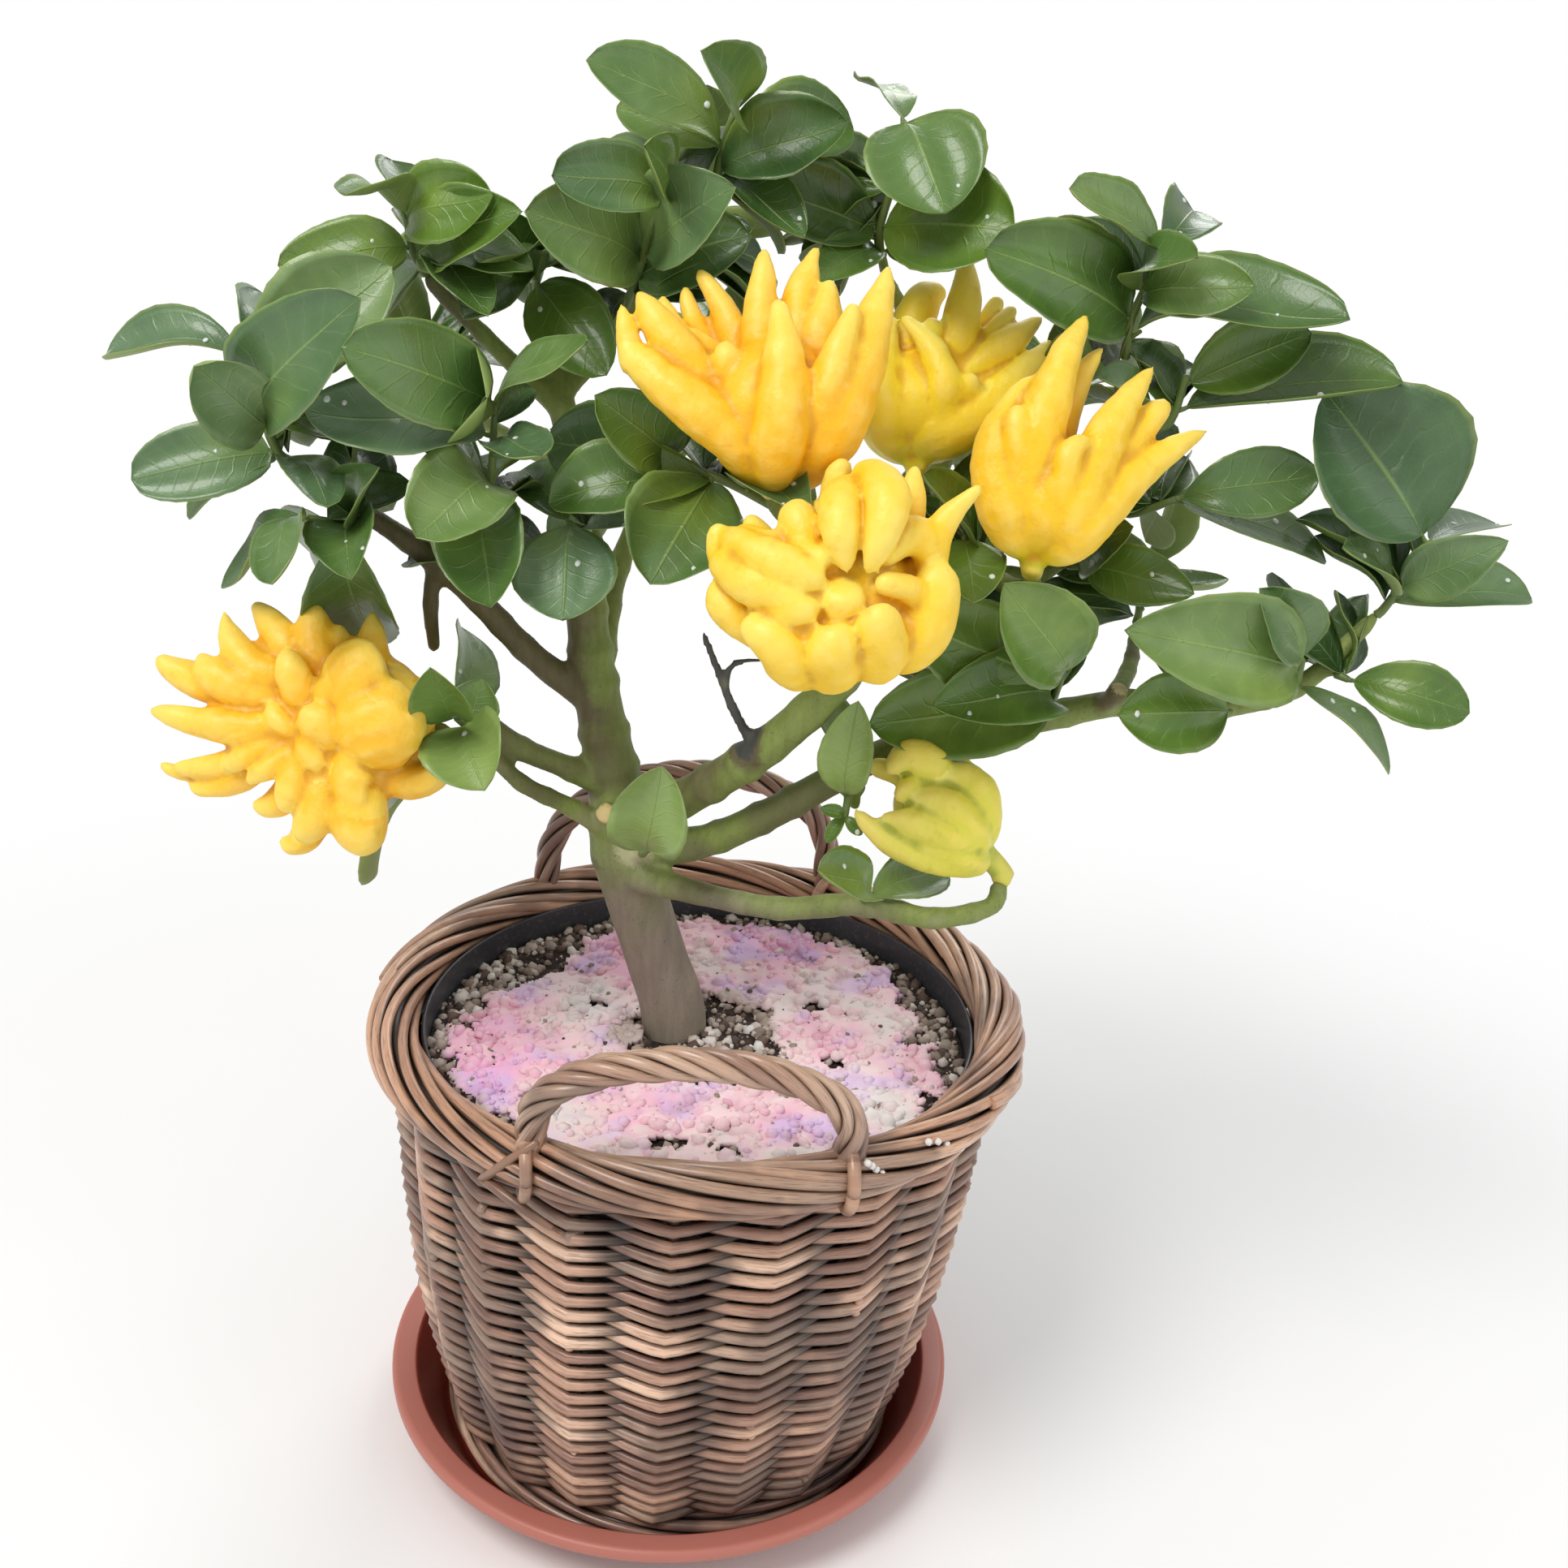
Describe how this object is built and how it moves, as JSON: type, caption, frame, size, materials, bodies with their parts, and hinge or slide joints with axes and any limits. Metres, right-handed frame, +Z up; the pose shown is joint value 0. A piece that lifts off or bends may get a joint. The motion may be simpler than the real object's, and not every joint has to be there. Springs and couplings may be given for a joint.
{
  "type": "fingered citron bonsai",
  "caption": "Potted fingered citron tree with yellow finger-like fruits and glossy leaves, in a round woven willow basket on a plastic saucer.",
  "frame": {"origin": "centre of the saucer's underside, on the floor", "axes": "+Z up, -Y towards the viewer of the picture, +X to the viewer's right"},
  "size_m": [0.6111, 0.3586, 0.6739],
  "materials": {
    "saucer_plastic": "matte terracotta plastic",
    "willow": "woven willow rods, stained brown",
    "liner_plastic": "thin black plastic pot",
    "earth": "dark damp potting soil",
    "pink_dressing": "crumbled pink and white top dressing",
    "bark": "smooth grey-brown to olive bark",
    "rind": "smooth yellow rind",
    "leaf": "glossy green leaf"
  },
  "bodies": {
    "root": {"basket_base": "willow", "basket_border": "willow", "basket_foot": "willow", "basket_wall": "willow", "fruit_closed": "rind", "fruit_cupped": "rind", "fruit_knuckled": "rind", "fruit_pointed": "rind", "fruit_starred": "rind", "fruit_upright": "rind", "handle_back": "willow", "handle_front": "willow", "liner_pot": "liner_plastic", "saucer": "saucer_plastic", "soil": "earth", "spray_back_inner": "leaf", "spray_back_left": "leaf", "spray_back_low": "leaf", "spray_back_middle": "leaf", "spray_back_right": "leaf", "spray_back_side": "leaf", "spray_back_top": "leaf", "spray_behind_fruit": "leaf", "spray_bough_inner": "leaf", "spray_centre": "leaf", "spray_closed_fruit": "leaf", "spray_crown": "leaf", "spray_crown_left": "leaf", "spray_far_right": "leaf", "spray_fruit_side": "leaf", "spray_leader_mid": "leaf", "spray_leader_tip": "leaf", "spray_left_low": "leaf", "spray_left_mid": "leaf", "spray_left_tip": "leaf", "spray_low": "leaf", "spray_right_bough": "leaf", "spray_right_fan": "leaf", "spray_right_low": "leaf", "spray_right_mid": "leaf", "spray_right_side": "leaf", "spray_right_up": "leaf", "spray_starred_fruit": "leaf", "spray_top": "leaf", "spray_top_left": "leaf", "spray_top_right": "leaf", "top_dressing": "pink_dressing", "trunk": "bark"}
  },
  "joints": []
}
